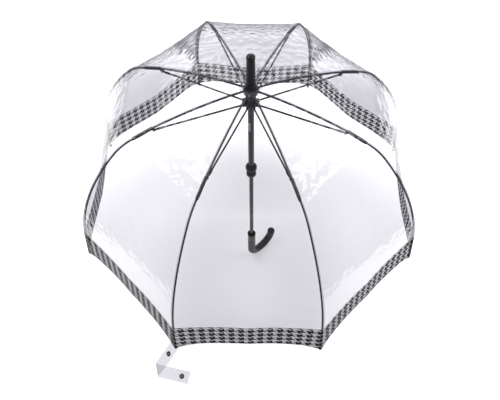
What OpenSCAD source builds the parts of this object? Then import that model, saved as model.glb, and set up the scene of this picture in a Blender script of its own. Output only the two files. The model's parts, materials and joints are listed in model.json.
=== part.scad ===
// Dome umbrella with a clear film canopy: eight ribs, a sliding runner and a crook handle.
// Millimetres, +Z up the shaft. The origin is in the middle of the straight grip, on the shaft's axis.
// A [r, z] pair is a place in one rib's own upright plane: r out from the shaft, z up.

/* [Shaft] */
// Outer diameter of the shaft tube
shaft_d = 11; // [9:0.5:13]
// Wall of the shaft tube
shaft_wall = 0.8; // [0.6:0.1:1.5]
// Height of the rib hinges above the grip
crown_z = 720; // [640:5:780]
// How far the shaft goes down inside the handle, below the origin
shaft_in_handle = 20; // [10:1:28]
// How far the shaft goes up inside the ferrule, above the rib hinges
shaft_in_ferrule = 70; // [40:1:78]

/* [Ribs] */
// Distance of the rib hinges from the shaft's axis
rib_pivot_r = 12; // [11:0.5:15]
// Down slope of a rib where it leaves the crown, in degrees
rib_slope = 1.6; // [0:0.2:6]
// Bend radius of the steel rib channel
rib_bend_r = 850; // [600:10:1200]
// Angle that the steel rib turns through, in degrees
rib_sweep = 14; // [10:0.5:18]
// Width of the rib channel
rib_w = 3.2; // [2.6:0.1:4]
// Height of the rib channel
rib_h = 3.2; // [2.6:0.1:4]
// Sheet thickness of the rib and stretcher channels
channel_t = 0.7; // [0.5:0.1:1]
// Length of the plastic connector between rib and rod
connector_len = 42; // [30:1:60]
// Down slope of the connector, in degrees
connector_slope = 20; // [16:0.5:26]
// Diameter of the connector
connector_d = 7; // [6:0.2:9]
// Diameter of the glass fibre rod
rod_d = 3.8; // [3:0.1:4.4]
// Bend radius of the rod at the shoulder
shoulder_r = 114; // [90:2:160]
// Angle of the shoulder bend, in degrees
shoulder_sweep = 27; // [20:1:36]
// Bend radius of the rod down the side
side_r = 495; // [400:5:650]
// Angle of the side bend, in degrees
side_sweep = 34; // [26:1:38]
// Straight length at the rod's lower end
rod_tail = 100; // [70:1:140]
// Diameter of the ball on a rod's tip
tip_ball_d = 7; // [6:0.5:10]

/* [Stretchers and runner] */
// Distance of the stretcher pivots in the runner from the shaft's axis
runner_pivot_r = 11; // [10:0.5:13]
// Height of the rib hinges above the runner's pivots
pivot_drop = 41; // [34:1:60]
// Width of a stretcher
stretcher_w = 2.8; // [2.2:0.1:3.4]
// Height of a stretcher
stretcher_h = 3; // [2.4:0.1:3.6]
// How far a stretcher stops short of its runner pivot, which is left open
stretcher_short = 6.5; // [6:0.5:9]
// Length of the runner's sleeve, below its pivots
sleeve_len = 281; // [240:1:300]
// Outer diameter of the runner's sleeve
sleeve_d = 14; // [13.5:0.5:17]
// Diameter of the runner's ball grip
knob_d = 28; // [24:1:34]
// Height of the ball grip's middle above the runner's lower end
knob_z = 39; // [36:1:60]
// Diameter of the ring under the ball grip
ring_d = 25; // [20:1:28]

/* [Canopy] */
// Thickness of the clear film
film_t = 0.3; // [0.2:0.1:1]
// How far the rod tips stand below the hem
hem_to_tip = 29; // [15:1:45]

/* [Crown and ferrule] */
// Radius of the crown
crown_r = 16; // [15:0.5:18]
// Height of the ferrule without its cap
ferrule_len = 79; // [74:1:110]
// Radius of the ferrule's foot
ferrule_foot_r = 10.9; // [9:0.1:13]
// Radius of the ferrule's top
ferrule_top_r = 8.5; // [7:0.1:9]
// Height of the ferrule's cap
cap_h = 8.6; // [7:0.2:12]
// Radius of the film rosette
rosette_r = 24; // [19:1:30]

/* [Handle] */
// Diameter of the grip
grip_d = 23.5; // [21:0.5:28]
// Length of the straight grip above the origin
grip_up = 33; // [30:1:50]
// Length of the straight grip below the origin
grip_down = 30; // [30:1:45]
// Radius of the crook, to the middle of the grip
crook_r = 44.5; // [38:0.5:55]
// Direction of the crook about the shaft, in degrees
crook_turn = 45; // [0:5:90]
// Height of the tip cup above the grip
cup_h = 42.5; // [30:0.5:44]
// Outer diameter of the tip cup
cup_d = 24.8; // [23:0.2:30]
// Depth of the tip cup's hollow
cup_depth = 20; // [10:1:26]

/* [Tie strap] */
// Width of the tie strap
strap_w = 27; // [20:1:34]
// Length of the strap from the hem to its fold
strap_root_len = 76; // [50:1:90]
// Length of the strap from its fold to its end
strap_end_len = 76; // [50:1:90]
// Diameter of a snap fastener
snap_d = 12; // [9:0.5:14]

/* [Hidden] */
$fn = 64;
COUNT = 8;
STEP = 360 / COUNT;
HALF = STEP / 2;
STRAP_RIB = 6;

// Clearances between pieces, and how far a cut runs past a face
fit_gap = 0.08;        // sliding and turning fits, on the radius
air_gap = 0.3;         // pieces that only pass each other
seam_gap = 0.15;       // half the gap between two film solids
past = 1;

// Levels up the shaft
runner_pivot_z = crown_z - pivot_drop;
runner_low_z = runner_pivot_z - sleeve_len;
crown_low_z = crown_z - 8;
crown_top_z = crown_z + 4;
crown_boss_t = 3.5;
crown_boss_h = 1.4;
rosette_z = crown_top_z + crown_boss_h;
rosette_t = 0.6;
ferrule_z = rosette_z + rosette_t;
shaft_low_z = -shaft_in_handle;
shaft_top_z = crown_z + shaft_in_ferrule;
shaft_r = shaft_d / 2;

// The rib's line in its own plane, from the hinge to the rod's tip
function after_arc(p, slope, radius, sweep) =
    p + radius * [sin(slope + sweep) - sin(slope), cos(slope + sweep) - cos(slope)];
function after_line(p, slope, run) = p + run * [cos(slope), -sin(slope)];
function aside(p, slope, out) = p + out * [sin(slope), cos(slope)];

rib_pivot = [rib_pivot_r, crown_z];
rib_end = after_arc(rib_pivot, rib_slope, rib_bend_r, rib_sweep);
rod_start = after_line(rib_end, connector_slope, connector_len);
side_slope = connector_slope + shoulder_sweep;
tail_slope = side_slope + side_sweep;
side_start = after_arc(rod_start, connector_slope, shoulder_r, shoulder_sweep);
tail_start = after_arc(side_start, side_slope, side_r, side_sweep);
rod_tip = after_line(tail_start, tail_slope, rod_tail);

// The stretcher's pivot under the connector, and its open pivot in the runner
bracket_back = 5;
bracket_drop = connector_d;
stretcher_pivot = aside(after_line(rib_end, connector_slope, -bracket_back), connector_slope, -bracket_drop);
runner_pivot = [runner_pivot_r, runner_pivot_z];
stretcher_line = runner_pivot - stretcher_pivot;
stretcher_len = norm(stretcher_line);
stretcher_rise = atan2(stretcher_line.y, -stretcher_line.x);
pin_r = 1;
eye_r = 2.6;
cheek_t = 1;
rod_r = rod_d / 2;
rod_root_r = rod_r + 0.25;

// Runner
sleeve_r = sleeve_d / 2;
slide_bore_r = shaft_r + fit_gap;
hub_h = 14;
hub_r = runner_pivot_r + 1.5;
cheek_h = 8;
cheek_root_r = shaft_r + 2;
cheek_reach_r = runner_pivot_r + stretcher_short + 2;
cheek_slot = stretcher_w + 2 * air_gap;
ring_low = 4;
ring_h = 19;

// Spring catches, in slots through the shaft
catch_w = 2.8;
catch_h = 11;
catch_proud = 2.3;
catch_deep = 1.2;
catch_flat = 2;
catch_gap = 2;
closed_gap = 2.5;      // the closed runner's end, above the tip cup
cup_top_z = grip_up + cup_h;
window_up = knob_z + knob_d / 2 + 3;
window_h = catch_h + 4 * air_gap;
catch_top_z = runner_low_z - catch_gap - catch_h;
catch_low_z = cup_top_z + closed_gap + window_up + 2 * air_gap;

// Handle
crook_end_up = 4;

// Canopy film, outside the connectors by a clearance that holds on both sides of the ridge
film_out = (connector_d / 2 + air_gap) / cos(HALF);
film_rib_steps = 5;
film_shoulder_steps = 4;
film_side_steps = 6;
film_start_r = crown_r + 1.4;
film_start_sweep = asin((film_start_r - rib_pivot_r) / rib_bend_r);
film_tail = rod_tail - hem_to_tip / sin(tail_slope);

// Each row of the film is [r, z, slope] on the rib's line
film_rows = concat(
    [for (i = [0:film_rib_steps])
        let (s = film_start_sweep + (rib_sweep - film_start_sweep) * i / film_rib_steps,
             p = after_arc(rib_pivot, rib_slope, rib_bend_r, s))
        [p.x, p.y, rib_slope + s]],
    [for (i = [0:film_shoulder_steps])
        let (s = shoulder_sweep * i / film_shoulder_steps,
             p = after_arc(rod_start, connector_slope, shoulder_r, s))
        [p.x, p.y, connector_slope + s]],
    [for (i = [1:film_side_steps])
        let (s = side_sweep * i / film_side_steps,
             p = after_arc(side_start, side_slope, side_r, s))
        [p.x, p.y, side_slope + s]],
    [let (p = after_line(tail_start, tail_slope, film_tail)) [p.x, p.y, tail_slope]]
);

// Tie strap: out and down from the hem beside one rod, then folded back along the hem
strap_t = 0.6;
strap_aside = 6;
strap_turn = 20;
strap_droop = 42;
strap_lap = 6;
strap_end_turn = 120;
strap_end_droop = 12;
snap_t = 2.4;
snap_from_root = 32;
snap_from_end = 18;

module about_shaft(i) {
    rotate([0, 0, (i - 1) * STEP + HALF]) children();
}

// Children drawn along +X are laid along the rib's line at p
module on_line(p, slope) {
    translate([p.x, 0, p.y]) rotate([0, slope, 0]) children();
}

// Sweeps a flat outline round a bend. Its x is out from the bend's middle, its y is sideways
module along_arc(p, slope, radius, sweep) {
    translate([p.x - radius * sin(slope), 0, p.y - radius * cos(slope)])
        rotate([90, 0, 0])
            rotate([0, 0, 90 - slope - sweep])
                rotate_extrude(angle = sweep)
                    translate([radius, 0]) children();
}

// A rod along +X
module bar(r, len) {
    rotate([0, 90, 0]) cylinder(r = r, h = len);
}

// A pin or bore across the rib's plane at p
module across(p, r, width) {
    translate([p.x, 0, p.y]) rotate([90, 0, 0]) cylinder(r = r, h = width, center = true);
}

module channel_outline(w, h) {
    difference() {
        square([h, w], center = true);
        translate([-channel_t, 0]) square([h, w - 2 * channel_t], center = true);
    }
}

module ring_of(r, z) {
    translate([0, 0, z]) rotate_extrude() translate([rib_pivot_r, 0]) circle(r = r);
}

// ---- Shaft and what is fixed to it ----

module catch_slot(z) {
    translate([-catch_w / 2 - fit_gap, 0, z - air_gap])
        cube([catch_w + 2 * fit_gap, shaft_d, catch_h + 2 * air_gap]);
}

module shaft() {
    color("#1b1b1d")
    difference() {
        translate([0, 0, shaft_low_z]) cylinder(r = shaft_r, h = shaft_top_z - shaft_low_z);
        translate([0, 0, shaft_low_z - past])
            cylinder(r = shaft_r - shaft_wall, h = shaft_top_z - shaft_low_z + 2 * past);
        catch_slot(catch_top_z);
        catch_slot(catch_low_z);
    }
}

module crown() {
    slot_w = rib_w + 2 * air_gap;
    color("#141415")
    difference() {
        union() {
            translate([0, 0, crown_low_z]) cylinder(r = crown_r, h = crown_top_z - crown_low_z);
            translate([0, 0, crown_top_z]) cylinder(r = shaft_r + crown_boss_t, h = crown_boss_h);
        }
        translate([0, 0, crown_low_z - past]) cylinder(r = shaft_r, h = rosette_z - crown_low_z + 2 * past);
        ring_of(pin_r, crown_z);
        for (i = [1:COUNT]) about_shaft(i)
            translate([rib_pivot_r - eye_r - air_gap, -slot_w / 2, crown_low_z - past])
                cube([crown_r, slot_w, crown_z + eye_r + air_gap - crown_low_z + past]);
    }
}

module crown_ring() {
    color("#8a8a8c") ring_of(pin_r, crown_z);
}

module rosette() {
    color("#eef0f4")
    translate([0, 0, rosette_z])
    difference() {
        cylinder(r = rosette_r, h = rosette_t);
        translate([0, 0, -past]) cylinder(r = shaft_r, h = rosette_t + 2 * past);
    }
}

module ferrule() {
    foot_h = 2.6;
    foot_lip = 0.8;
    color("#0f0f10")
    translate([0, 0, ferrule_z])
    difference() {
        union() {
            cylinder(r = ferrule_foot_r + foot_lip, h = foot_h);
            cylinder(r1 = ferrule_foot_r, r2 = ferrule_top_r, h = ferrule_len);
        }
        translate([0, 0, -past]) cylinder(r = shaft_r, h = shaft_top_z - ferrule_z + past);
    }
}

module ferrule_cap() {
    band_h = 3.6;
    cap_lip = 0.3;
    cap_r = ferrule_top_r + cap_lip;
    dome_h = cap_h - band_h;
    flat_cut = 0.4;
    dome_r = (cap_r * cap_r + pow(dome_h + flat_cut, 2)) / (2 * (dome_h + flat_cut));
    color("#141415")
    translate([0, 0, ferrule_z + ferrule_len])
    union() {
        cylinder(r = cap_r, h = band_h);
        intersection() {
            translate([0, 0, band_h + dome_h + flat_cut - dome_r]) sphere(r = dome_r);
            translate([0, 0, band_h]) cylinder(r = cap_r + past, h = dome_h);
        }
    }
}

module handle() {
    grip_r = grip_d / 2;
    color("#1d1d1f")
    difference() {
        union() {
            translate([0, 0, -grip_down]) cylinder(r = grip_r, h = grip_up + grip_down);
            rotate([0, 0, crook_turn])
                translate([crook_r, 0, -grip_down])
                    rotate([90, 0, 0]) rotate([0, 0, 180])
                        rotate_extrude(angle = 180) translate([crook_r, 0]) circle(r = grip_r);
            rotate([0, 0, crook_turn])
                translate([2 * crook_r, 0, -grip_down]) cylinder(r = grip_r, h = crook_end_up);
        }
        translate([0, 0, shaft_low_z]) cylinder(r = shaft_r, h = grip_up - shaft_low_z + past);
    }
}

module handle_end() {
    end_h = 8;
    end_r = grip_d / 2;
    dome_r = (end_r * end_r + end_h * end_h) / (2 * end_h);
    color("#101011")
    rotate([0, 0, crook_turn])
    translate([2 * crook_r, 0, crook_end_up - grip_down])
    intersection() {
        translate([0, 0, end_h - dome_r]) sphere(r = dome_r);
        cylinder(r = end_r + past, h = end_h);
    }
}

module handle_collar() {
    rim = 1.6;
    color("#161617")
    translate([0, 0, grip_up])
    difference() {
        cylinder(r = cup_d / 2, h = cup_h);
        translate([0, 0, cup_h - cup_depth]) cylinder(r = cup_d / 2 - rim, h = cup_depth + past);
        translate([0, 0, -past]) cylinder(r = shaft_r, h = cup_h + 2 * past);
    }
}

// A wedge whose flat end holds the runner and whose slope lets it past. The flat end is up here
module catch_wedge() {
    root_y = shaft_r - shaft_wall - catch_deep;
    nose_y = shaft_r + catch_proud;
    color("#9a9a9c")
    translate([catch_w / 2, 0, 0])
        rotate([0, -90, 0])
            linear_extrude(catch_w)
                polygon([[0, root_y], [catch_h, root_y], [catch_h, nose_y],
                         [catch_h - catch_flat, nose_y], [0, shaft_r]]);
}

module catch_top() {
    translate([0, 0, catch_top_z]) catch_wedge();
}

module catch_low() {
    translate([0, 0, catch_low_z + catch_h]) mirror([0, 0, 1]) catch_wedge();
}

// ---- Runner ----

module runner_hub() {
    color("#121213")
    difference() {
        union() {
            translate([0, 0, runner_pivot_z - hub_h / 2]) cylinder(r = hub_r, h = hub_h);
            for (i = [1:COUNT]) about_shaft(i) for (side = [-1, 1])
                translate([cheek_root_r, side * (cheek_slot + cheek_t) / 2, runner_pivot_z])
                    translate([0, -cheek_t / 2, -cheek_h / 2])
                        cube([cheek_reach_r - cheek_root_r, cheek_t, cheek_h]);
        }
        translate([0, 0, runner_pivot_z - hub_h]) cylinder(r = slide_bore_r, h = 2 * hub_h);
        for (i = [1:COUNT]) about_shaft(i)
            translate([sleeve_r + cheek_t, -cheek_slot / 2, runner_pivot_z - hub_h])
                cube([hub_r, cheek_slot, 2 * hub_h]);
    }
}

module runner_sleeve() {
    top_z = runner_pivot_z - hub_h / 2;
    color("#232326")
    difference() {
        translate([0, 0, runner_low_z]) cylinder(r = sleeve_r, h = top_z - runner_low_z);
        translate([0, 0, runner_low_z - past])
            cylinder(r = slide_bore_r, h = top_z - runner_low_z + 2 * past);
        translate([-catch_w / 2 - air_gap, 0, runner_low_z + window_up])
            cube([catch_w + 2 * air_gap, sleeve_d, window_h]);
    }
}

module runner_knob() {
    knob_half = 10;
    color("#0f0f10")
    translate([0, 0, runner_low_z + knob_z])
    difference() {
        intersection() {
            sphere(r = knob_d / 2);
            cylinder(r = knob_d, h = 2 * knob_half, center = true);
        }
        cylinder(r = sleeve_r, h = knob_d, center = true);
    }
}

module runner_ring() {
    color("#1a1a1c")
    translate([0, 0, runner_low_z])
    difference() {
        intersection() {
            translate([0, 0, ring_low + ring_h / 2]) sphere(r = ring_d / 2);
            translate([0, 0, ring_low]) cylinder(r = ring_d, h = ring_h);
        }
        cylinder(r = sleeve_r, h = knob_d);
    }
}

// ---- Ribs, connectors, rods and stretchers: each is drawn in its plane, then turned ----

module rib(i) {
    color("#18181a")
    about_shaft(i)
    difference() {
        union() {
            along_arc(rib_pivot, rib_slope, rib_bend_r, rib_sweep) channel_outline(rib_w, rib_h);
            across(rib_pivot, eye_r, rib_w);
        }
        across(rib_pivot, pin_r + fit_gap, 2 * rib_w);
    }
}

module connector(i) {
    r = connector_d / 2;
    nose = 6;
    nose_wall = 0.9;
    socket = rib_h + 2 * air_gap;
    color("#101012")
    about_shaft(i)
    difference() {
        union() {
            on_line(after_line(rib_end, connector_slope, -bracket_back), connector_slope)
                bar(r, connector_len + bracket_back - nose);
            on_line(after_line(rod_start, connector_slope, -nose), connector_slope)
                rotate([0, 90, 0]) cylinder(r1 = r, r2 = rod_r + nose_wall, h = nose);
            for (side = [-1, 1])
                on_line(stretcher_pivot, connector_slope)
                    translate([-eye_r, side * (cheek_slot + cheek_t) / 2 - cheek_t / 2, -eye_r])
                        cube([2 * eye_r, cheek_t, bracket_drop]);
            across(stretcher_pivot, pin_r, cheek_slot + 2 * cheek_t);
        }
        on_line(after_line(rib_end, connector_slope, -2 * bracket_back), connector_slope)
            translate([0, -socket / 2, -socket / 2]) cube([2 * bracket_back + past, socket, socket]);
        translate([rod_start.x, 0, rod_start.y]) sphere(r = rod_root_r + air_gap);
    }
}

// A thin band over the joint between two bends of a rod
module rod_band(p, slope) {
    band_len = 1.6;
    band_t = 0.05;
    on_line(after_line(p, slope, -band_len / 2), slope) bar(rod_r + band_t, band_len);
}

module rod(i) {
    end_len = 12;
    end_t = 0.5;
    color("#131315")
    about_shaft(i) {
        translate([rod_start.x, 0, rod_start.y]) sphere(r = rod_root_r);
        along_arc(rod_start, connector_slope, shoulder_r, shoulder_sweep) circle(r = rod_r);
        rod_band(side_start, side_slope);
        along_arc(side_start, side_slope, side_r, side_sweep) circle(r = rod_r);
        rod_band(tail_start, tail_slope);
        on_line(tail_start, tail_slope) bar(rod_r, rod_tail);
        on_line(after_line(rod_tip, tail_slope, -end_len), tail_slope) bar(rod_r + end_t, end_len);
        translate([rod_tip.x, 0, rod_tip.y]) sphere(r = tip_ball_d / 2);
    }
}

module stretcher(i) {
    run = stretcher_len - stretcher_short;
    color("#161618")
    about_shaft(i)
    difference() {
        union() {
            on_line(stretcher_pivot, stretcher_rise)
                rotate([0, 0, 180]) rotate([90, 0, 90])
                    linear_extrude(run) rotate([0, 0, 90]) channel_outline(stretcher_w, stretcher_h);
            across(stretcher_pivot, eye_r, stretcher_w);
        }
        across(stretcher_pivot, pin_r + fit_gap, 2 * stretcher_w);
    }
}

// ---- Canopy: each panel is the film on both sides of one rib, as far as the middle of each gore ----

// A film point at height row, out from the rib's line, and sideways share of the way to the gore's middle
function film_point(row, out, edge) =
    let (p = aside([row.x, row.y], row.z, out),
         reach = p.x * cos(HALF) * sin(HALF),
         y = edge == 0 ? seam_gap : reach - seam_gap,
         share = y / reach)
    [p.x * (1 - share * pow(sin(HALF), 2)), y, p.y];

module half_panel() {
    last = len(film_rows) - 1;
    points = [for (row = film_rows) for (out = [film_out, film_out + film_t]) for (edge = [0, 1])
        film_point(row, out, edge)];
    // Corners in a row: 0 inner at the rib, 1 inner at the gore's middle, 2 outer at the rib, 3 outer there
    faces = concat(
        [[0, 1, 3, 2]],
        [for (i = [0:last - 1]) for (side = [[2, 3], [3, 1], [1, 0], [0, 2]])
            let (a = 4 * i, b = 4 * (i + 1))
            [a + side[0], a + side[1], b + side[1], b + side[0]]],
        [[4 * last + 2, 4 * last + 3, 4 * last + 1, 4 * last]]
    );
    polyhedron(points = points, faces = faces, convexity = 4);
}

module canopy(i) {
    color([0.9, 0.91, 0.94, 0.5])
    about_shaft(i) {
        half_panel();
        mirror([0, 1, 0]) half_panel();
    }
}

// ---- Tie strap, with its two snaps ----

module at_strap_root() {
    hem = film_rows[len(film_rows) - 1];
    root = aside([hem.x, hem.y], hem.z, film_out + film_t + air_gap);
    about_shaft(STRAP_RIB)
        translate([root.x, -strap_aside, root.y])
            rotate([0, 0, -strap_turn]) rotate([0, strap_droop, 0]) children();
}

module at_strap_fold() {
    at_strap_root()
        translate([strap_root_len, 0, 0]) rotate([0, -strap_droop, strap_end_turn])
            rotate([0, strap_end_droop, 0]) children();
}

module tie_strap() {
    color([0.9, 0.91, 0.94, 0.6]) {
        at_strap_root() translate([0, -strap_w / 2, 0]) cube([strap_root_len, strap_w, strap_t]);
        at_strap_fold() translate([-strap_lap, -strap_w / 2, -strap_t - air_gap])
            cube([strap_end_len, strap_w, strap_t]);
    }
}

module strap_snaps() {
    color("#4a4a4e") {
        at_strap_root() translate([snap_from_root, 0, strap_t]) cylinder(r = snap_d / 2, h = snap_t);
        at_strap_fold() translate([strap_end_len - strap_lap - snap_from_end, 0, -air_gap])
            cylinder(r = snap_d / 2, h = snap_t);
    }
}

shaft();
crown();
crown_ring();
rosette();
ferrule();
ferrule_cap();
handle();
handle_end();
handle_collar();
catch_top();
catch_low();
runner_hub();
runner_sleeve();
runner_knob();
runner_ring();
for (i = [1:COUNT]) {
    rib(i);
    connector(i);
    rod(i);
    stretcher(i);
    canopy(i);
}
tie_strap();
strap_snaps();
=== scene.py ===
# %% [markdown]
# # A clear dome umbrella
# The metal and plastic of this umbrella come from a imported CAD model, and they keep their places. Here
# Blender adds what the CAD can't show: the clear film with its printed hem, the ruffled rosette, the tie
# strap, and a finish for every piece. Everything is in metres, with the shaft along Z and the origin in
# the middle of the straight grip.

# %% Load the frame
import json
import math
import bmesh
import bpy
import numpy as np
from mathutils import Matrix, Vector, noise


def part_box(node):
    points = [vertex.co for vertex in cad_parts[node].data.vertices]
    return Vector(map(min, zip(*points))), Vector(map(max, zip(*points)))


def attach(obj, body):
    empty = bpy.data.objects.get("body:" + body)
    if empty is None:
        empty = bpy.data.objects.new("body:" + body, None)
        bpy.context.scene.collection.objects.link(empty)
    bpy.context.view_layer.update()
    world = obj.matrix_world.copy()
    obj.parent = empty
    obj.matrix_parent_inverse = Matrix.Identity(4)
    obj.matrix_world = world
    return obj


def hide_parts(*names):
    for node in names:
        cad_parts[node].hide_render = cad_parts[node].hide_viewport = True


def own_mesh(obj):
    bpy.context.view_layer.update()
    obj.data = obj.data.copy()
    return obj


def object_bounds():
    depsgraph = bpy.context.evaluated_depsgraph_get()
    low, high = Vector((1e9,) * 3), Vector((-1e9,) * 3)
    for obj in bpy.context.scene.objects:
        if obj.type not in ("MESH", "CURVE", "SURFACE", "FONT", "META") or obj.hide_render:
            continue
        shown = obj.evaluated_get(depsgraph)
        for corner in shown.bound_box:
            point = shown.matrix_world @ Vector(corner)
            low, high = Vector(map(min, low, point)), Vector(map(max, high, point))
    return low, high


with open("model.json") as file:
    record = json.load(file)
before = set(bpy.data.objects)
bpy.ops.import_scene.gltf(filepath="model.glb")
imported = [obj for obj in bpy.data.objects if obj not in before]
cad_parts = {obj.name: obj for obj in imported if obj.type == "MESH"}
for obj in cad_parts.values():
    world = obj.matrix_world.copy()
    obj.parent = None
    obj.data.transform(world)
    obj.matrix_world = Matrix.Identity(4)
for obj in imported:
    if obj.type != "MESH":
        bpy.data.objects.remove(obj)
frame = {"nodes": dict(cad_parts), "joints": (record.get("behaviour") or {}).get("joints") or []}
CAD_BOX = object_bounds()
NODES = frame["nodes"]
JOINTS = {joint["name"]: joint for joint in frame["joints"]}
print("CAD nodes:", len(NODES), "joints:", len(JOINTS))

# %% [markdown]
# ## Where the ribs are
# Eight ribs stand at equal angles, the first half a step round from the X axis. Each has its own upright
# plane: `out` is the way it points, and `side` is across it. Working in that plane keeps the sums short.

# %% The ribs' directions
COUNT = 8
STEP = math.tau / COUNT
HALF = STEP / 2
RIBS = range(1, COUNT + 1)
STRAP_RIB = 6
MM = 0.001


def rib_angle(i):
    return (i - 1) * STEP + HALF


def out_way(i):
    return Vector((math.cos(rib_angle(i)), math.sin(rib_angle(i)), 0))


def side_way(i):
    return Vector((-math.sin(rib_angle(i)), math.cos(rib_angle(i)), 0))


def in_rib_plane(i, co):
    """How far out, how far to the side and how high a place is, seen from rib i."""
    return co.dot(out_way(i)), co.dot(side_way(i)), co.z


print("rib angles:", [round(math.degrees(rib_angle(i)), 1) for i in RIBS])

# %% [markdown]
# ## Shader maths as plain sums
# A material is a net of small nodes, and a sum such as `1 - mask * 0.5` takes three of them. The class
# below wraps one socket and overloads Python's operators, so that such a sum is written as a sum. Any
# other node comes from `node()`, which takes its type, its settings and its inputs.

# %% A socket that can be added and multiplied
class Value:
    def __init__(self, net, socket):
        self.net, self.socket = net, socket

    def math(self, operation, *others):
        return self.net.node("ShaderNodeMath", {"operation": operation}, dict(enumerate((self, *others))))

    def __add__(self, other):
        return self.math("ADD", other)

    def __sub__(self, other):
        return self.math("SUBTRACT", other)

    def __rsub__(self, other):
        return self.net.node("ShaderNodeMath", {"operation": "SUBTRACT"}, {0: other, 1: self})

    def __mul__(self, other):
        return self.math("MULTIPLY", other)

    def __lt__(self, other):
        return self.math("LESS_THAN", other)

    def __gt__(self, other):
        return self.math("GREATER_THAN", other)

    def __mod__(self, other):
        return self.math("FLOORED_MODULO", other)

    __radd__ = __add__
    __rmul__ = __mul__


class Net:
    """The nodes of one material, from its coordinates to its output."""

    def __init__(self, name):
        self.material = bpy.data.materials.new(name)
        self.material.use_nodes = True
        self.tree = self.material.node_tree
        self.tree.nodes.clear()

    def node(self, kind, settings=None, inputs=None, out=0):
        made = self.tree.nodes.new(kind)
        for key, value in (settings or {}).items():
            if key == "stops":
                self.set_stops(made.color_ramp, value)
            else:
                setattr(made, key, value)
        for key, value in (inputs or {}).items():
            if isinstance(value, Value):
                self.tree.links.new(value.socket, made.inputs[key])
            else:
                made.inputs[key].default_value = value
        return Value(self, made.outputs[out])

    def set_stops(self, ramp, stops):
        while len(ramp.elements) < len(stops):
            ramp.elements.new(0.5)
        for element, (place, colour) in zip(ramp.elements, stops):
            element.position = place
            element.color = colour

    def place(self, scale=1.0, stretch=(1, 1, 1)):
        """A spot's place on the piece, in metres, scaled for a pattern."""
        at = self.node("ShaderNodeTexCoord", out="Object")
        size = Vector(stretch) * scale
        return self.node("ShaderNodeVectorMath", {"operation": "MULTIPLY"}, {0: at, 1: size})

    def cloud(self, scale, detail=3.0, stretch=(1, 1, 1)):
        """Soft noise from 0 to 1, with scale patches to a metre."""
        return self.node("ShaderNodeTexNoise", None,
                         {"Vector": self.place(1.0, stretch), "Scale": scale, "Detail": detail}, "Fac")

    def blend(self, share, low, high):
        """A colour between low and high."""
        return self.node("ShaderNodeMix", {"data_type": "RGBA"}, {0: share, 6: low, 7: high}, 2)

    def bump(self, height, strength, distance):
        return self.node("ShaderNodeBump", None,
                         {"Height": height, "Strength": strength, "Distance": distance}, "Normal")

    def principled(self, **inputs):
        names = {key.replace("_", " ").title().replace("Ior", "IOR"): value for key, value in inputs.items()}
        return self.node("ShaderNodeBsdfPrincipled", None, names)

    def finish(self, shader):
        end = self.tree.nodes.new("ShaderNodeOutputMaterial")
        self.tree.links.new(shader.socket, end.inputs["Surface"])
        return self.material


def rgb(red, green, blue):
    return (red, green, blue, 1.0)


print("shader tools ready")

# %% [markdown]
# ## Hard finishes
# The frame is all black, but it isn't one black. Enamelled steel shows fine ripples, moulded plastic has a
# faint grain and softer edges of light, and the sleeve is satin. One function makes them all: cloudy
# roughness, a trace of lighter dust in the base colour, and a bump at the scale of the real surface.

# %% One function for hard finishes
def hard_finish(name, base, worn, roughness, spread, grain, depth, stretch=(1, 1, 1), shine=0.22, **extra):
    """base to worn is the colour's range, grain counts bumps to a metre, and shine is the mirror share."""
    net = Net(name)
    patches = net.cloud(90, 4, stretch)
    fine = net.cloud(grain, 2, stretch)
    colour = net.blend(patches, base, worn)
    sheen = roughness + (patches - 0.5) * spread + (fine - 0.5) * (spread * 0.6)
    return net.finish(net.principled(
        base_color=colour, roughness=sheen, normal=net.bump(fine, 0.35, depth),
        specular_ior_level=shine, **extra))


FINISHES = {
    "shaft": hard_finish("enamelled_tube", rgb(.012, .012, .013), rgb(.024, .024, .026), .27, .12,
                         700, .00006, (1, 1, .15), coat_weight=.12, coat_roughness=.12),
    "channel": hard_finish("enamelled_channel", rgb(.009, .009, .010), rgb(.022, .022, .024), .33, .16,
                           900, .00006),
    "rod": hard_finish("black_glass_fibre", rgb(.008, .008, .009), rgb(.018, .018, .020), .30, .12,
                       1500, .00004, coat_weight=.08, coat_roughness=.2),
    "connector": hard_finish("moulded_connector", rgb(.008, .008, .009), rgb(.020, .020, .021), .42, .16,
                             1100, .00008),
    "hub": hard_finish("moulded_hub", rgb(.009, .009, .010), rgb(.021, .021, .022), .40, .16,
                       1000, .00008),
    "sleeve": hard_finish("satin_sleeve", rgb(.014, .014, .016), rgb(.028, .028, .031), .36, .12,
                          800, .00006, (1, 1, .2), coat_weight=.1, coat_roughness=.25),
    "ferrule": hard_finish("glossy_ferrule", rgb(.006, .006, .007), rgb(.014, .014, .015), .24, .10,
                           600, .00005, coat_weight=.12, coat_roughness=.15),
    "grip": hard_finish("satin_grip", rgb(.014, .014, .015), rgb(.034, .033, .035), .38, .16,
                        1300, .00010, coat_weight=.12, coat_roughness=.22),
    "wire": hard_finish("drawn_steel", rgb(.42, .42, .43), rgb(.60, .60, .61), .30, .16,
                        1600, .00005, shine=.5, metallic=1.0),
    "snap": hard_finish("gunmetal", rgb(.055, .055, .062), rgb(.13, .13, .14), .28, .14,
                        1400, .00005, shine=.5, metallic=1.0),
}
print("finishes:", ", ".join(FINISHES))

# %% [markdown]
# The record says which slot each CAD node takes its finish from, so the finishes go on in one loop. The
# nodes' meshes stay as they are: only their material slots change.

# %% Put the finishes on the CAD nodes
finished = 0
for node in NODES.values():
    for place, material in enumerate(node.data.materials):
        slot_name = material.name.split(".")[0]
        if slot_name in FINISHES:
            node.material_slots[place].material = FINISHES[slot_name]
            finished += 1
print("slots finished:", finished)

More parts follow.
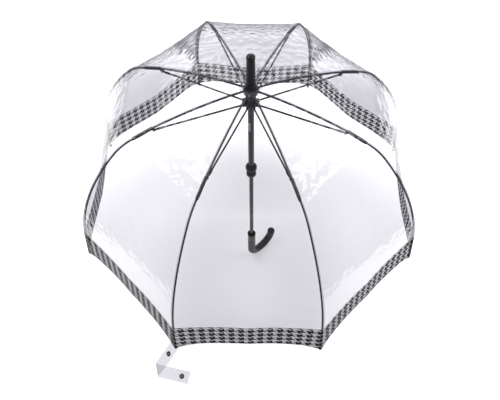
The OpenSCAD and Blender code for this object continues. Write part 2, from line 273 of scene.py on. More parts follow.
# %% [markdown]
# ## The film's line down a rib
# The canopy is a ruled surface: it follows a rib from the crown to the hem, and it is pulled nearly straight
# from rib to rib. So one line is enough to build it all. The line is read off the CAD canopy, which has a
# few rows of corners: where a row meets the rib, the middle of the film's two faces is a point on the line.
# A smooth curve through those points takes the facets away.

# %% Read the line off the CAD canopy
SEAM_REACH = 0.5 * MM        # a corner nearer the rib's plane than this is on the rib
FILM_GAP = 2 * MM            # two corners nearer each other than this are one spot on the line


def film_corners():
    """The places (out, up) where the CAD film meets rib 1, from the crown to the hem."""
    seen = set()
    for vertex in NODES["canopy_1"].data.vertices:
        out, side, up = in_rib_plane(1, vertex.co)
        if abs(side) < SEAM_REACH:
            seen.add((round(out, 5), round(up, 5)))
    line = []
    for spot in sorted(seen, key=lambda s: s[0] - s[1]):
        if line and math.dist(line[-1][-1], spot) < FILM_GAP:
            line[-1].append(spot)
        else:
            line.append([spot])
    return [Vector(np.mean(group, axis=0)) for group in line]


CORNERS = film_corners()


def curve_through(points, t):
    """A Catmull-Rom curve: t = 2.5 is halfway from point 2 to point 3. Past its ends it runs straight."""
    last = len(points) - 1
    k = min(max(int(t), 0), last - 1)
    f = t - k
    a, b = points[k], points[k + 1]
    if not 0 <= f <= 1:
        return a.lerp(b, f)
    before = points[k - 1] if k > 0 else 2 * a - b
    after = points[k + 2] if k + 2 <= last else 2 * b - a
    return 0.5 * ((2 * a) + (b - before) * f + (2 * before - 5 * a + 4 * b - after) * f ** 2
                  + (3 * a - before - 3 * b + after) * f ** 3)


def even_line(points, count=600):
    """The curve as places and lengths from its start, for looking a place up by length."""
    fine = [curve_through(points, t) for t in np.linspace(0, len(points) - 1, count)]
    lengths = np.concatenate([[0], np.cumsum([(b - a).length for a, b in zip(fine, fine[1:])])])
    return np.array([tuple(p) for p in fine]), lengths


LINE, LENGTHS = even_line(CORNERS)
FILM_LEN = float(LENGTHS[-1])


def on_line(s):
    """(out, up) at length s down the film, and the slope there. Past the hem the line runs on straight."""
    at = [float(np.interp(s, LENGTHS, LINE[:, axis])) for axis in (0, 1)]
    near = np.clip(s, 1 * MM, FILM_LEN - 1 * MM)
    ahead, behind = ([float(np.interp(near + d, LENGTHS, LINE[:, axis])) for axis in (0, 1)]
                     for d in (1 * MM, -1 * MM))
    slope = math.atan2(behind[1] - ahead[1], ahead[0] - behind[0])
    beyond = max(0.0, s - FILM_LEN)
    return at[0] + beyond * math.cos(slope), at[1] - beyond * math.sin(slope), slope


# Where a rod leaves its connector is where the canopy bends when the umbrella shuts
KNEE = Vector(in_rib_plane(1, Vector(JOINTS["rod_1_flex"]["pos_m"])))
KNEE_S = float(LENGTHS[np.argmin([math.dist(p, (KNEE.x, KNEE.z)) for p in LINE])])
print(f"film {FILM_LEN:.3f} m long down a rib, its knee at {KNEE_S:.3f} m, {len(CORNERS)} rows")

# %% [markdown]
# ## The shape of a gore
# Between two ribs the film is nearly flat from side to side, because it is pulled tight, but it has to bend
# down over the shoulder as well. It can't do both without stretching, so the middle of a gore draws in by a
# few millimetres. The film also puckers a little along the seams and ripples softly everywhere. All of that
# is a function of place, so panels that meet at an edge get the same edge and the same normals, and the
# canopy reads as one sheet.

# %% A place on the film
CROWN_SAG, KNEE_SAG, SHOULDER_SAG, HEM_SAG = 0.3 * MM, 4 * MM, 5 * MM, 8 * MM
SHOULDER_S = KNEE_S + 60 * MM
RIPPLE = 1.1 * MM
PUCKER, PUCKER_LEN, PUCKER_REACH = 0.5 * MM, 17 * MM, 0.16
HEM_DROP = 6 * MM            # how far the hem hangs below the CAD film's edge, beside a rib
HEM_BELLY = 12 * MM          # how much further it hangs at the middle of a gore
CORNER_DROP = 21 * MM        # how far its corners reach past that, down to the rods' tips


def gore_sag(s):
    stations = (0, KNEE_S, SHOULDER_S, FILM_LEN)
    return float(np.interp(s, stations, (CROWN_SAG, KNEE_SAG, SHOULDER_SAG, HEM_SAG)))


def ripples(place, s, share):
    """How far the film stands off its smooth shape at a place."""
    broad = noise.noise(place * 9) + 0.5 * noise.noise(place * 23)
    seam = math.sin(math.tau * s / PUCKER_LEN) * math.exp(-share / PUCKER_REACH) * noise.noise(place * 5)
    return RIPPLE * broad * (0.2 + share) + PUCKER * seam


def film_at(i, s, w, lift=0.0):
    """The film at length s down rib i, w of the way to the middle of a gore: -1 and 1 are the middles."""
    out, up, slope = on_line(s)
    share = abs(w)
    across = out * math.cos(HALF) * math.sin(HALF)
    way = Matrix.Rotation(w * HALF, 3, "Z") @ out_way(i)
    proud = way * math.sin(slope) + Vector((0, 0, math.cos(slope)))
    flat = out_way(i) * (out * (1 - share * math.sin(HALF) ** 2)) + side_way(i) * (w * across)
    flat.z = up
    sag = gore_sag(s) * (1 - (1 - share) ** 2)
    return flat + proud * (ripples(flat, s, share) - sag + lift)


def film_normal(i, s, w):
    """The way the film faces, from a step along it and a step across it."""
    step_s, step_w = 0.5 * MM, 0.004
    along = film_at(i, s + step_s, w) - film_at(i, s - step_s, w)
    near = min(max(w, step_w - 1), 1 - step_w)
    across = film_at(i, s, near + step_w) - film_at(i, s, near - step_w)
    return across.cross(along).normalized() * -1


def hem_line(w):
    """The hem without its corners. The print runs level with this line."""
    return FILM_LEN + HEM_DROP + HEM_BELLY * w * w


def hem_s(w):
    """How far down the film is cut: its corners reach down the rods to the tips."""
    return hem_line(w) + CORNER_DROP * (1 - abs(w)) ** 5


print("film at the middle of a front hem:", [round(c, 3) for c in film_at(6, FILM_LEN, 1)])

# %% [markdown]
# ## Panels from a grid
# Every soft piece here is a grid of corners bent into shape, so one helper turns a function of row and
# column into a mesh. It also stores texture coordinates in metres, which let the print and the creases
# follow the film, and normals worked out from the shape rather than from the faces.

# %% A mesh from a grid
def grid_piece(name, rows, columns, place, spot=None, normal=None):
    """place(r, c) is a corner, spot(r, c, right) its place on the flat cloth, and normal(r, c) its facing."""
    corners = [place(r, c) for r in range(rows + 1) for c in range(columns + 1)]
    width = columns + 1
    faces = [(r * width + c, (r + 1) * width + c, (r + 1) * width + c + 1, r * width + c + 1)
             for r in range(rows) for c in range(columns)]
    mesh = bpy.data.meshes.new(name)
    mesh.from_pydata([tuple(p) for p in corners], [], faces)
    mesh.polygons.foreach_set("use_smooth", [True] * len(faces))
    if spot:
        layer = mesh.uv_layers.new(name="flat")
        for face in mesh.polygons:
            c_low = min(mesh.loops[k].vertex_index % width for k in face.loop_indices)
            for k in face.loop_indices:
                r, c = divmod(mesh.loops[k].vertex_index, width)
                layer.data[k].uv = spot(r, c, c_low * 2 >= columns)
    if normal:
        facing = [tuple(normal(r, c)) for r in range(rows + 1) for c in range(columns + 1)]
        mesh.normals_split_custom_set_from_vertices(facing)
    piece = bpy.data.objects.new(name, mesh)
    bpy.context.scene.collection.objects.link(piece)
    return piece


def area_of(piece):
    return sum(face.area for face in piece.data.polygons)


print("grid helper ready")

# %% [markdown]
# ## Clear vinyl with a printed hem
# Clear film is mostly a hole with a shine on it. A Mix Shader shows that well: one side is Transparent with
# a faint tint, darkened well beyond the real film's as painted shade for the floor seen through the dome, the
# other is a bright Principled surface, and the share between them rises at glancing angles, which Fresnel
# gives. The creases that folding leaves tilt the surface in small blocks, so that each lamp breaks up into
# bright dashes. A Voronoi pattern measured by its larger side gives such blocks.
#
# The hem is printed with houndstooth. In a twill of two colours a thread shows its own colour where it is
# on top: dark where a dark upright thread crosses over, or a dark level one does. That rule is the pattern.

# %% The vinyl
TOOTH = 20.5 * MM            # the houndstooth's repeat
BAND = 84 * MM               # how far the print comes up from the hem
# painted shade: a faint lavender tint, made far darker than the real film's so the floor under the dome looks
# shaded
TINT_AND_SHADE = rgb(.695, .686, .720)
LEAST, GAIN = 0.002, 1.05    # how solid the film looks head on, and how fast it gains towards its edges


def houndstooth(u, v):
    """1 on the dark teeth. u and v are counted in repeats."""
    dark_up = (u % 1.0) < 0.57
    dark_level = (v % 1.0) < 0.55
    up_on_top = ((u + v) * 2 % 1.0) < 0.5
    return up_on_top * dark_up + (1 - up_on_top) * dark_level


def vinyl(name, printed):
    net = Net(name)
    flat = net.node("ShaderNodeTexCoord", out="UV")
    blocks = net.node("ShaderNodeTexVoronoi", {"voronoi_dimensions": "2D", "distance": "CHEBYCHEV"},
                      {"Vector": flat, "Scale": 48.0, "Randomness": 0.9}, "Distance")
    lines = net.node("ShaderNodeTexVoronoi", {"voronoi_dimensions": "2D", "feature": "DISTANCE_TO_EDGE"},
                     {"Vector": flat, "Scale": 19.0}, "Distance")
    patches = net.cloud(7, 2)
    blocky, wavy = (0.45, 0.35) if printed else (1.3, 0.3)
    height = blocks * blocky + net.cloud(22, 2) * wavy + lines * patches * 0.6
    if printed:
        flat_parts = [net.node("ShaderNodeSeparateXYZ", None, {0: flat}, axis) for axis in ("X", "Y")]
        band = flat_parts[1] < BAND
        height = height * (1 - band * 0.88)
    facing = net.bump(height, 0.55, 0.0040)
    edge = net.node("ShaderNodeFresnel", None, {"IOR": 1.45, "Normal": facing})
    solid = LEAST + edge * GAIN
    colour = net.blend(patches, rgb(.93, .93, .96), rgb(.98, .98, 1))
    metallic = 0.8
    if printed:
        u, v = (part * (1 / TOOTH) for part in flat_parts)
        tooth = houndstooth(u, v)
        worn_ink = 0.94 + net.cloud(160, 2) * 0.06
        print_colour = net.blend(tooth, rgb(.74, .74, .77), rgb(.006, .006, .008))
        print_solid = tooth * worn_ink + (1 - tooth) * 0.6
        colour = net.blend(band, colour, print_colour)
        solid = solid * (1 - band) + print_solid * band
        metallic = (1 - band) * 0.8
    rough = 0.06 + patches * 0.08
    shine = net.principled(base_color=colour, roughness=rough, metallic=metallic, normal=facing,
                           specular_ior_level=0.0)
    clear = net.node("ShaderNodeBsdfTransparent", None, {"Color": TINT_AND_SHADE})
    return net.finish(net.node("ShaderNodeMixShader", None, {0: solid, 1: clear, 2: shine}))


FILM = vinyl("clear_vinyl", False)
PRINTED_FILM = vinyl("printed_vinyl", True)
print("film materials:", FILM.name, PRINTED_FILM.name)

# %% [markdown]
# ## Welded seams
# Where two gores meet, their edges are welded together over each rib. The weld is a strip of double film,
# a little whiter than the rest, with a fine row of dashes from the welding wheel. It rides just above the
# canopy on each rib and rod.

# %% Doubled film
def doubled_film(name, dashes):
    """Two layers welded: whiter, and with a row of dashes along it if dashes is above 0."""
    net = Net(name)
    haze = net.cloud(120, 3)
    solid = 0.015 + haze * 0.03
    if dashes:
        flat = net.node("ShaderNodeTexCoord", out="UV")
        along = net.node("ShaderNodeSeparateXYZ", None, {0: flat}, "Y") * dashes
        solid = solid + ((along % 1.0) < 0.5) * 0.07
    tone = net.blend(haze, rgb(.74, .74, .79), rgb(.90, .90, .94))
    facing = net.bump(net.cloud(240, 3), 0.5, 0.0006)
    shine = net.principled(base_color=tone, roughness=0.12 + haze * 0.1, normal=facing,
                           specular_ior_level=0.6)
    # painted shade: the same darkened tint as the canopy film
    clear = net.node("ShaderNodeBsdfTransparent", None, {"Color": TINT_AND_SHADE})
    return net.finish(net.node("ShaderNodeMixShader", None, {0: solid, 1: clear, 2: shine}))


WELD = doubled_film("welded_film", 220.0)
SEAM_W = 6 * MM
SEAM_LIFT = 0.25 * MM


def weld_strip(name, i, body, s_from, s_to, rows):
    def at(r):
        return s_from + (s_to - s_from) * r / rows

    def place(r, c):
        out = on_line(at(r))[0]
        across = out * math.cos(HALF) * math.sin(HALF)
        return film_at(i, at(r), (c / 4 - 0.5) * SEAM_W / across, SEAM_LIFT)

    piece = grid_piece(name, rows, 4, place, lambda r, c, right: ((c / 4 - 0.5) * SEAM_W, at(r)))
    piece.data.materials.append(WELD)
    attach(piece, body)
    return piece


SEAM_CLEAR = 1.5 * MM        # a top seam stops this far short of the knee, and a side seam starts past it
print("weld", SEAM_W, "m wide")

# %% [markdown]
# ## The canopy
# On the real umbrella eight gores are welded edge to edge. To move with the frame the sheet is divided along
# lines where it bends: at the knee, where each rod leaves its connector, and at the middle of each gore. So
# each rib carries a top panel and each rod a side panel. As the umbrella shuts the film can't follow all
# eight ribs at once: it folds into pleats.

# %% Sixteen panels
ACROSS = 20                  # faces from a rib to the middle of a gore
TOP_ROWS, SIDE_ROWS = 26, 44


def panel(name, i, s_from, s_to, rows, material):
    """Film beside rib i. s_from and s_to give the cut at w, as lengths down the film."""
    def at(r, c):
        w = c / ACROSS - 1
        return s_from + (s_to(w) - s_from) * r / rows, w

    def spot(r, c, right):
        s, w = at(r, c)
        out = on_line(s)[0]
        across = out * math.cos(HALF) * math.sin(HALF)
        return (w - (1 if right else -1)) * across, hem_line(w) - s

    piece = grid_piece(name, rows, 2 * ACROSS, lambda r, c: film_at(i, *at(r, c)), spot,
                       lambda r, c: film_normal(i, *at(r, c)))
    piece.data.materials.append(material)
    return piece


def lay_panel(piece, i, body, s_from, s_to):
    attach(piece, body)
    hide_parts(f"canopy_{i}")
    width = 2 * max(on_line(s)[0] for s in (s_from, s_to)) * math.cos(HALF) * math.sin(HALF)
    s_to - s_from
    tuple(side_way(i))
    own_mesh(piece)


for i in RIBS:
    top = panel(f"canopy_top_{i}", i, 0.0, lambda w: KNEE_S, TOP_ROWS, FILM)
    weld = weld_strip(f"seam_top_{i}", i, f"rib_body_{i}", 12 * MM, KNEE_S - SEAM_CLEAR, 40)
    lay_panel(top, i, f"rib_body_{i}", 0.0, KNEE_S)
    side = panel(f"canopy_side_{i}", i, KNEE_S, hem_s, SIDE_ROWS, PRINTED_FILM)
    weld = weld_strip(f"seam_side_{i}", i, f"rod_body_{i}", KNEE_S + SEAM_CLEAR, hem_s(0) - 1 * MM, 70)
    lay_panel(side, i, f"rod_body_{i}", KNEE_S, hem_s(0))
print(f"top panel {area_of(top):.4f} m2, side panel {area_of(side):.4f} m2")

# %% [markdown]
# ## Crown film and rosette
# At the crown the gores run together into a small disc, clamped between the crown and the ferrule. Above it
# sits a rosette: a ring of film gathered round the shaft so that it stands in ruffles. A ruffle grows with
# distance from the shaft, so its height is a wave round the ring times the distance from the clamp.

# %% Crown disc and rosette
CROWN_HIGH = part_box("crown")[1]
ROSETTE_LOW, ROSETTE_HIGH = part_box("rosette")
ROSETTE_R = ROSETTE_HIGH.x
RUFFLES, RUFFLE_H = 11, 2.6 * MM


def disc_piece(name, inner, outer, rings, steps, height):
    """A flat ring round the shaft, with height(radius share, angle) as its level."""
    def place(r, c):
        share, turn = r / rings, math.tau * c / steps
        reach = inner + (outer - inner) * share
        return Vector((reach * math.cos(turn), reach * math.sin(turn), height(share, turn)))

    return grid_piece(name, rings, steps, place,
                      lambda r, c, right: (math.tau * c / steps * outer, (outer - inner) * r / rings))


def crown_level(share, turn):
    return CROWN_HIGH.z - 0.9 * MM + 0.15 * MM * math.sin(COUNT * turn) * share - 0.5 * MM * share


def ruffle_level(share, turn):
    wander = 0.6 * math.sin(2 * turn + 0.7) + 0.3 * math.sin(5 * turn)
    wave = math.sin(RUFFLES * turn + wander) + 0.35 * math.sin(2.3 * RUFFLES * turn)
    return (ROSETTE_LOW.z + ROSETTE_HIGH.z) / 2 + RUFFLE_H * share ** 1.4 * wave + 1.2 * MM * share ** 2


SHAFT_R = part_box("shaft")[1].x
crown_film = disc_piece("crown_film", SHAFT_R + 3.6 * MM, CORNERS[0].x + 0.6 * MM, 5, 96, crown_level)
rosette = disc_piece("rosette_film", SHAFT_R + 0.1 * MM, ROSETTE_R + 1.0 * MM, 16, 264, ruffle_level)
for piece in (crown_film, rosette):
    piece.data.materials.append(WELD if piece is rosette else FILM)
    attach(piece, "frame")
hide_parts("rosette")
for piece, held in ((crown_film, "stretched"), (rosette, "gathered")):
    across = 2 * math.sqrt(area_of(piece) / math.pi)
    area_of(piece)
print("rosette radius", round(ROSETTE_R, 4), "m, area", round(area_of(rosette), 5), "m2")

# %% [markdown]
# ## The tie strap
# A strip of the same film wraps the shut umbrella. Left loose it hangs out from the hem, then folds back
# across itself. Film bends but doesn't stretch, so the strap is made flat and then rolled: first round a
# tight fold that crosses it at a slant, then along a gentle droop. Both keep every length as it was cut.

# %% A strap that is bent, not stretched
STRAP_W, STRAP_ROOT, STRAP_END = 27 * MM, 79 * MM, 84 * MM
STRAP_ASIDE = 0.025
STRAP_TURN = math.radians(-20)
DROOP_FROM, DROOP_TO = math.radians(39.6), math.radians(25.8)
STRAP_BANK = math.radians(9.5)
FOLD_SLANT, FOLD_TURN, FOLD_R = math.radians(60.4), math.radians(166), 1.6 * MM
STRAP_BASE = film_at(STRAP_RIB, FILM_LEN - 2 * MM, STRAP_ASIDE, 1.2 * MM)
STRAP_OUT = Matrix.Rotation(STRAP_TURN, 3, "Z") @ out_way(STRAP_RIB)
STRAP_SIDE = Vector((0, 0, 1)).cross(STRAP_OUT)


def roll(length, radius, turn):
    """Where a flat length ends up, along and off the surface, when it rolls round radius by turn."""
    if length < radius * turn:
        return radius * math.sin(length / radius), radius * (1 - math.cos(length / radius))
    rest = length - radius * turn
    return (radius * math.sin(turn) + rest * math.cos(turn),
            radius * (1 - math.cos(turn)) + rest * math.sin(turn))


def strap_at(a, b, lift=0.0):
    """The strap a from the hem and b from its middle line. lift is above its face."""
    line = Vector((math.cos(FOLD_SLANT), math.sin(FOLD_SLANT)))
    across = Vector((line.y, -line.x))
    flat = Vector((a - STRAP_ROOT, b))
    past = flat.dot(across)
    off = lift
    if past > 0:
        along, drop = roll(past, FOLD_R, FOLD_TURN)
        angle = min(past / FOLD_R, FOLD_TURN)
        flat = line * flat.dot(line) + across * (along + lift * math.sin(angle))
        off = lift * math.cos(angle) - drop
    a, b = flat.x + STRAP_ROOT, flat.y
    droop_turn = DROOP_TO - DROOP_FROM
    forward, fall = roll(max(a, 0), STRAP_ROOT / droop_turn, droop_turn)
    heading = DROOP_FROM + droop_turn * min(max(a / STRAP_ROOT, 0), 1)
    forward += min(a, 0)
    cos, sin = math.cos(DROOP_FROM), math.sin(DROOP_FROM)
    middle = STRAP_OUT * (forward * cos - fall * sin) - Vector((0, 0, forward * sin + fall * cos))
    face = STRAP_OUT * math.sin(heading) + Vector((0, 0, math.cos(heading)))
    side = STRAP_SIDE * math.cos(STRAP_BANK) + face * math.sin(STRAP_BANK)
    face = face * math.cos(STRAP_BANK) - STRAP_SIDE * math.sin(STRAP_BANK)
    return STRAP_BASE + middle + side * b + face * off


STRAP_ROWS, STRAP_COLUMNS = 150, 12
STRAP_TUCK = 5 * MM


def strap_spot(r, c):
    a = (STRAP_ROOT + STRAP_END + STRAP_TUCK) * r / STRAP_ROWS - STRAP_TUCK
    return a, STRAP_W * (c / STRAP_COLUMNS - 0.5)


STRAP_FILM = doubled_film("strap_film", 0)
strap = grid_piece("tie_strap_film", STRAP_ROWS, STRAP_COLUMNS, lambda r, c: strap_at(*strap_spot(r, c)),
                   lambda r, c, right: strap_spot(r, c))
strap.data.materials.append(STRAP_FILM)
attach(strap, f"rod_body_{STRAP_RIB}")
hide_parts("tie_strap")
print("strap ends at", [round(x, 3) for x in strap_at(STRAP_ROOT + STRAP_END, 0)])

# %% [markdown]
# ## Turned pieces
# Snaps, ferrule, grips and cup are all round about one line, so one helper turns an outline into a solid.
# Real moulded edges are never sharp, and it's the light along a small round that shows this. So the helper
# first rounds every corner of the outline by a given radius.

# %% Turn an outline
def rounded(outline, radius, steps=4):
    """The outline, a list of (r, z), with each inner corner rounded."""
    points = [Vector(p) for p in outline]
    line = [points[0]]
    for before, corner, after in zip(points, points[1:], points[2:]):
        reach = min(radius, (corner - before).length * 0.45, (after - corner).length * 0.45)
        start = corner + (before - corner).normalized() * reach
        end = corner + (after - corner).normalized() * reach
        for k in range(steps + 1):
            f = k / steps
            line.append(start.lerp(corner, f).lerp(corner.lerp(end, f), f))
    return line + [points[-1]]


def turned(name, outline, radius, material, base=Vector(), way=Vector((0, 0, 1)), steps=64):
    """Turns outline about the line through base that points along way. The outline runs upwards outside."""
    line = rounded(outline, radius)
    stand = Vector(way).to_track_quat("Z", "Y")

    def place(r, c):
        turn = math.tau * c / steps
        spot = Vector((line[r].x * math.cos(turn), line[r].x * math.sin(turn), line[r].y))
        return base + stand @ spot

    piece = grid_piece(name, len(line) - 1, steps, place)
    weld_up(piece)
    piece.data.materials.append(material)
    return piece


def weld_up(piece):
    """Joins corners that lie on each other, drops faces with no area, and turns every face outwards."""
    work = bmesh.new()
    work.from_mesh(piece.data)
    bmesh.ops.remove_doubles(work, verts=work.verts, dist=1e-6)
    bmesh.ops.dissolve_degenerate(work, edges=work.edges, dist=1e-7)
    bmesh.ops.recalc_face_normals(work, faces=work.faces)
    work.to_mesh(piece.data)
    work.free()


print("turning helper ready")

# %% [markdown]
# ## Snaps on the strap
# Each snap is a dark metal ring with a dished middle and a small bright stud. Its line through the strap is
# found from the strap itself, so that the ring lies flat on the film wherever the film has turned.

# %% Two snaps
SNAP_PLACES = (32 * MM, STRAP_ROOT + STRAP_END - 18 * MM)
RING = [(0, .7), (2.2, .7), (2.9, 1.2), (4.1, 2.0), (5.3, 1.7), (6.0, .7), (5.8, 0), (0, 0)]
STUD = [(0, 1.75), (1.1, 1.6), (1.7, 1.0), (1.8, .5), (0, .5)]


def in_mm(outline):
    """An outline in metres from one in millimetres, running from the bottom up."""
    return [(r * MM, z * MM) for r, z in reversed(outline)]


snaps = []
for k, (a, face) in enumerate(zip(SNAP_PLACES, (1, -1)), 1):
    base = strap_at(a, 0)
    way = (strap_at(a, 0, face * MM) - base).normalized()
    ring = turned(f"snap_ring_{k}", in_mm(RING), 0.35 * MM, FINISHES["snap"], base, way, 40)
    stud = turned(f"snap_stud_{k}", in_mm(STUD), 0.3 * MM, FINISHES["wire"], base, way, 24)
    snaps += [ring, stud]
for piece in snaps:
    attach(piece, f"rod_body_{STRAP_RIB}")
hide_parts("strap_snaps")
STRAP_ROOT + STRAP_END + STRAP_TUCK
print("snaps at", [[round(x, 3) for x in strap_at(a, 0)] for a in SNAP_PLACES])

# %% [markdown]
# ## Ferrule and cap
# The ferrule is a long moulded cone over the end of the shaft. Its foot flares out over the rosette, and a
# thin groove parts it from the rounded cap. The outlines take their ends from the CAD pieces' boxes.

# %% Ferrule and cap
def box_of(node):
    """A round CAD piece's radius, its lowest level and its highest."""
    low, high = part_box(node)
    return high.x, low.z, high.z


FOOT_R, FERRULE_LOW, FERRULE_HIGH = box_of("ferrule")
CAP_R, CAP_LOW, CAP_HIGH = box_of("ferrule_cap")
GROOVE = 0.7 * MM
FERRULE_TOP_R = CAP_R - 0.3 * MM
ferrule = turned("ferrule_body", [
    (SHAFT_R, FERRULE_HIGH), (SHAFT_R, FERRULE_LOW), (FOOT_R, FERRULE_LOW), (FOOT_R, FERRULE_LOW + 2.4 * MM),
    (FOOT_R - 1.1 * MM, FERRULE_LOW + 3.6 * MM), (FOOT_R - 1.7 * MM, FERRULE_LOW + 11 * MM),
    (FERRULE_TOP_R, FERRULE_HIGH - 1.2 * MM), (FERRULE_TOP_R - GROOVE, FERRULE_HIGH - 0.6 * MM),
    (SHAFT_R, FERRULE_HIGH)], 0.7 * MM, FINISHES["ferrule"], steps=96)
dome = [(CAP_R * math.cos(t), CAP_LOW + 3.4 * MM + (CAP_HIGH - CAP_LOW - 3.4 * MM) * math.sin(t))
        for t in np.linspace(0, math.pi / 2, 12)]
cap = turned("ferrule_tip", [(0, CAP_LOW), (CAP_R - GROOVE, CAP_LOW), (CAP_R, CAP_LOW + 0.7 * MM), *dome[:-1],
                             (0, CAP_HIGH)], 0.5 * MM, FINISHES["ferrule"], steps=96)
for piece, node in ((ferrule, "ferrule"), (cap, "ferrule_cap")):
    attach(piece, "frame")
    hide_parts(node)
print("ferrule from", round(FERRULE_LOW, 4), "to", round(CAP_HIGH, 4))

# %% [markdown]
# ## The runner's grips and the tip cup
# A ball and a smaller ring on the sleeve are what the fingers push. Both are full round forms with a shallow
# belt. The cup above the handle catches the rods' tips when the umbrella is shut, so its mouth is dished.

# %% Ball, ring and cup
SLEEVE_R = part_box("runner_sleeve")[1].x


BELT_SPREAD = 0.12           # how far the belt round a ball spreads, as an angle


def ball_outline(node, bore, belt):
    """A ball with flat ends and a bore. belt is how deep the line round its middle is cut."""
    radius, low, high = box_of(node)
    middle, half = (low + high) / 2, (high - low) / 2
    full = radius + belt
    tilt = math.asin(half / full)
    side = [(full * math.cos(t) - belt * math.exp(-(t / BELT_SPREAD) ** 2), middle + full * math.sin(t))
            for t in np.linspace(-tilt, tilt, 27)]
    return [(bore, high), (bore, low), *side, (bore, high)]


ball = turned("runner_ball", ball_outline("runner_knob", SLEEVE_R, 0.5 * MM), 0.5 * MM,
              FINISHES["hub"], steps=96)
ring = turned("runner_ring_grip", ball_outline("runner_ring", SLEEVE_R, 0.4 * MM), 0.8 * MM,
              FINISHES["sleeve"], steps=96)
for piece, node, slot_name in ((ball, "runner_knob", "hub"), (ring, "runner_ring", "sleeve")):
    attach(piece, "runner")
    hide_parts(node)

CUP_R, CUP_LOW, CUP_HIGH = box_of("handle_collar")
CUP_RIM, CUP_DEPTH, CUP_BEAD = 1.5 * MM, 20 * MM, 0.5 * MM
CUP_FLOOR = CUP_HIGH - CUP_DEPTH
cup = turned("tip_cup", [
    (SHAFT_R, CUP_FLOOR), (SHAFT_R, CUP_LOW), (CUP_R - 0.9 * MM, CUP_LOW),
    (CUP_R - CUP_BEAD, CUP_LOW + 3 * MM), (CUP_R - CUP_BEAD, CUP_HIGH - 4.5 * MM),
    (CUP_R, CUP_HIGH - 3.8 * MM), (CUP_R, CUP_HIGH), (CUP_R - CUP_RIM, CUP_HIGH),
    (CUP_R - CUP_RIM - 1.2 * MM, CUP_FLOOR + 4 * MM), (SHAFT_R, CUP_FLOOR)],
    0.6 * MM, FINISHES["ferrule"], steps=96)
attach(cup, "frame")
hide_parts("handle_collar")
print("ball, ring and cup made")

# %% [markdown]
# ## Small fittings
# Each stretcher ends in a short clip just inside its pivot, and the pivot is a rivet with domed heads on
# both cheeks of the connector. A plain label sits on the sleeve, pale and without print.

# %% Clips, rivets and the label
HUB_LOW, HUB_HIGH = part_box("runner_hub")
RUNNER_PIVOT_OUT, RUNNER_PIVOT_Z = 11 * MM, (HUB_LOW.z + HUB_HIGH.z) / 2
CLIP_FROM, CLIP_LEN, CLIP_R = 7 * MM, 15 * MM, 2.7 * MM
RIVET_SIDE, RIVET_R, RIVET_H = 2.7 * MM, 1.8 * MM, 0.8 * MM

for i in RIBS:
    pivot = Vector(JOINTS[f"stretcher_{i}_fold"]["pos_m"])
    inner = out_way(i) * RUNNER_PIVOT_OUT + Vector((0, 0, RUNNER_PIVOT_Z))
    way = (inner - pivot).normalized()
    clip = turned(f"stretcher_clip_{i}", [
        (0, 0), (CLIP_R - 0.4 * MM, 0), (CLIP_R, 2 * MM), (CLIP_R, CLIP_LEN - 4 * MM),
        (CLIP_R - 0.7 * MM, CLIP_LEN), (0, CLIP_LEN)],
        0.4 * MM, FINISHES["connector"], pivot + way * CLIP_FROM, way, 24)
    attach(clip, f"stretcher_body_{i}")
    for hand, side in (("left", -1), ("right", 1)):
        rivet = turned(f"rivet_{hand}_{i}", [
            (0, -0.1 * MM), (RIVET_R, -0.1 * MM), (RIVET_R, 0.2 * MM), (RIVET_R * 0.6, RIVET_H * 0.85),
            (0, RIVET_H)],
            0.3 * MM, FINISHES["wire"], pivot + side_way(i) * side * RIVET_SIDE, side_way(i) * side, 20)
        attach(rivet, f"rib_body_{i}")

LABEL_LOW, LABEL_HIGH = HUB_LOW.z - 82 * MM, HUB_LOW.z - 54 * MM
LABEL_FROM, LABEL_TO = math.radians(205), math.radians(262)
LABEL = hard_finish("blank_label", rgb(.50, .50, .52), rgb(.62, .62, .64), .45, .1, 900, .00003)


def label_place(r, c):
    turn = LABEL_FROM + (LABEL_TO - LABEL_FROM) * c / 14
    reach = SLEEVE_R + 0.08 * MM
    level = LABEL_LOW + (LABEL_HIGH - LABEL_LOW) * (1 - r / 6)
    return Vector((reach * math.cos(turn), reach * math.sin(turn), level))


label = grid_piece("sleeve_label", 6, 14, label_place)
label.data.materials.append(LABEL)
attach(label, "runner")
print("clips, rivets and label made")

# %% [markdown]
# ## Floor, light and camera
# A clear thing is hard to light: what shows is what it bends, dims and mirrors. A white floor fills the
# view, so that the black frame stands out and the film reads as a faint grey. Two large soft boxes stand
# behind and above, left and right, where the dome's shoulders mirror them to the camera.

# %% [markdown]
# The white is a sheet of paper on a dark floor. It ends just past the view, so that the print on the hem
# mirrors dark floor and stays black. The paper glows, which is painted light that keeps it white, and it
# glows only about half as much round a spot just in front of the umbrella's foot: a painted shadow of the
# canopy.

# %% The floor
FLOOR_Z = CAD_BOX[0].z
FLOOR_HALF = 6.0


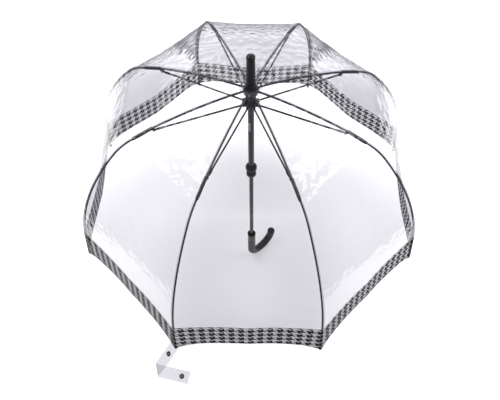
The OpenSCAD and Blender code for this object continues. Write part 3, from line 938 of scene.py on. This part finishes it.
def paper():
    net = Net("white_paper")
    tone = net.blend(net.cloud(3, 2), rgb(.88, .88, .88), rgb(.90, .90, .90))
    spot = net.node("ShaderNodeTexCoord", out="Object")
    x, y = (net.node("ShaderNodeSeparateXYZ", None, {0: spot}, axis) for axis in ("X", "Y"))
    away = net.node("ShaderNodeVectorMath", {"operation": "DISTANCE"},
                    {0: spot, 1: (0, -0.15, FLOOR_Z)}, "Value")
    # painted shadow: the paper's glow falls to about half near the umbrella's foot, in place of the canopy's
    # shade
    past_painted_shadow = net.node("ShaderNodeMapRange", {"interpolation_type": "SMOOTHSTEP"},
                   {"Value": away, "From Min": 0.5, "From Max": 0.85})
    aside = net.node("ShaderNodeMath", {"operation": "ABSOLUTE"}, {0: x})
    sheet = (y > -0.58) * (y < 1.55) * ((aside - y * 0.3) < 1.08)
    tone = net.blend(sheet, rgb(.03, .03, .035), tone)
    # painted light: the paper glows to stay white, and glows less near the umbrella as a painted shadow
    glow = net.blend(past_painted_shadow, rgb(.54, .54, .54), rgb(1.05, 1.05, 1.05))
    glow = net.blend(sheet, rgb(0, 0, 0), glow)
    return net.finish(net.principled(base_color=tone, roughness=0.9, specular_ior_level=0.1,
                                     emission_color=glow, emission_strength=1.0))


floor = grid_piece("floor", 8, 8, lambda r, c: Vector((FLOOR_HALF * (c / 4 - 1), FLOOR_HALF * (r / 4 - 1),
                                                       FLOOR_Z)))
floor.data.materials.append(paper())
print("floor at", round(FLOOR_Z, 4))

# %% Lights
scene = bpy.context.scene
scene.view_settings.view_transform = "Standard"
world = bpy.data.worlds.new("studio")
scene.world = world
world.use_nodes = True
world.node_tree.nodes["Background"].inputs["Color"].default_value = rgb(.97, .97, 1)
world.node_tree.nodes["Background"].inputs["Strength"].default_value = 0.30


def soft_box(name, place, aim, width, height, watts):
    lamp = bpy.data.lights.new(name, "AREA")
    lamp.shape, lamp.size, lamp.size_y, lamp.energy = "RECTANGLE", width, height, watts
    stand = bpy.data.objects.new(name, lamp)
    stand.location = place
    stand.rotation_euler = (Vector(aim) - Vector(place)).to_track_quat("-Z", "Y").to_euler()
    scene.collection.objects.link(stand)
    return stand


soft_box("box_left", (-.95, .30, 1.95), (-.13, -.1, .69), 1.0, .8, 13)
soft_box("box_right", (.95, .12, 1.95), (.14, -.14, .69), .8, .7, 12)
soft_box("box_back", (0, 1.75, 1.65), (0, .1, .7), 2.6, .8, 22)
soft_box("box_front", (0, -1.9, 1.9), (0, -.3, 0), 2.0, 1.0, 6)

# %% Camera
CAMERA_PLACE = (0.017, -0.748, 1.542)
CAMERA_TILT = 30.62          # degrees up from straight down
CAMERA_TURN = -2.09          # degrees about the upright
CAMERA_ROLL = 2.63           # degrees about its own line of sight
camera = bpy.data.objects.new("camera", bpy.data.cameras.new("camera"))
camera.location = CAMERA_PLACE
camera.rotation_euler = (Matrix.Rotation(math.radians(CAMERA_TURN), 3, "Z")
                         @ Matrix.Rotation(math.radians(CAMERA_TILT), 3, "X")
                         @ Matrix.Rotation(math.radians(CAMERA_ROLL), 3, "Z")).to_euler()
camera.data.lens = 38.4
camera.data.shift_x = -0.035
scene.collection.objects.link(camera)
scene.camera = camera
print("camera looks down by", 90 - CAMERA_TILT, "degrees")
